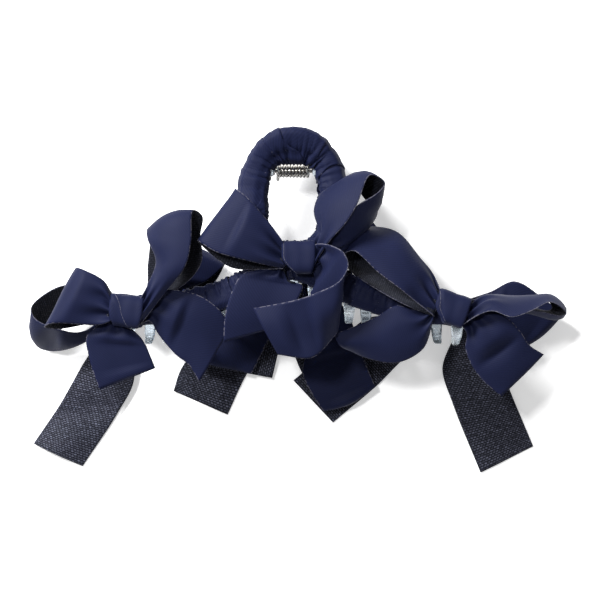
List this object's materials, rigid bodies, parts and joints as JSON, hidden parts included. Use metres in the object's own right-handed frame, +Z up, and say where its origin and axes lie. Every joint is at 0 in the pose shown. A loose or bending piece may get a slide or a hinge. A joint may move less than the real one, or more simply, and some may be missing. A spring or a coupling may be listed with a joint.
{
  "type": "ribbon bow claw clip",
  "caption": "Large clear spring hair claw lying flat, its thumb ring and arms wrapped in navy ribbon, with tied ribbon bows on both jaws.",
  "frame": {"origin": "on the surface that the clip lies on, under the middle of its outline", "axes": "+Z up out of the surface, +Y from the teeth to the thumb ring, +X along the hinge pin, to the right as the clip is seen from the front"},
  "size_m": [0.2018, 0.1287, 0.065],
  "materials": {
    "clear_plastic": "clear, slightly blue, glossy moulded plastic",
    "steel": "bright drawn wire",
    "spring_steel": "bright nickel-plated spring wire",
    "ribbon": "matte navy crepe satin, with a darker corded reverse and a thin pale selvedge",
    "ribbon_reverse": "near-black corded reverse with short grey-blue ticks in rows across the ribbon"
  },
  "bodies": {
    "back": {"back_jaw": "clear_plastic", "hinge_pin": "steel", "torsion_spring": "spring_steel", "back_ring_wrap": "ribbon", "back_left_arm_wrap": "ribbon", "back_right_arm_wrap": "ribbon", "back_left_knot": "ribbon", "back_left_tails": "ribbon", "back_left_loops": "ribbon", "back_centre_knot": "ribbon", "back_centre_tails": "ribbon", "back_centre_loops": "ribbon", "back_right_knot": "ribbon", "back_right_tails": "ribbon", "back_right_loops": "ribbon"},
    "front": {"front_jaw": "clear_plastic", "front_ring_wrap": "ribbon", "front_left_arm_wrap": "ribbon", "front_right_arm_wrap": "ribbon", "front_left_knot": "ribbon", "front_left_tails": "ribbon", "front_left_loops": "ribbon", "front_centre_knot": "ribbon", "front_centre_tails": "ribbon", "front_centre_loops": "ribbon", "front_right_knot": "ribbon", "front_right_tails": "ribbon", "front_right_loops": "ribbon"}
  },
  "joints": [
    {"name": "jaw_hinge", "type": "hinge", "parent": "back", "child": "front", "pos_m": [-0.00105, 0.0491, 0.029], "axis": [-1, 0, 0], "range_deg": [0, 45], "stiffness_Nm_per_rad": 0.29, "springref_deg": -22.92, "deforming": ["torsion_spring"]}
  ]
}
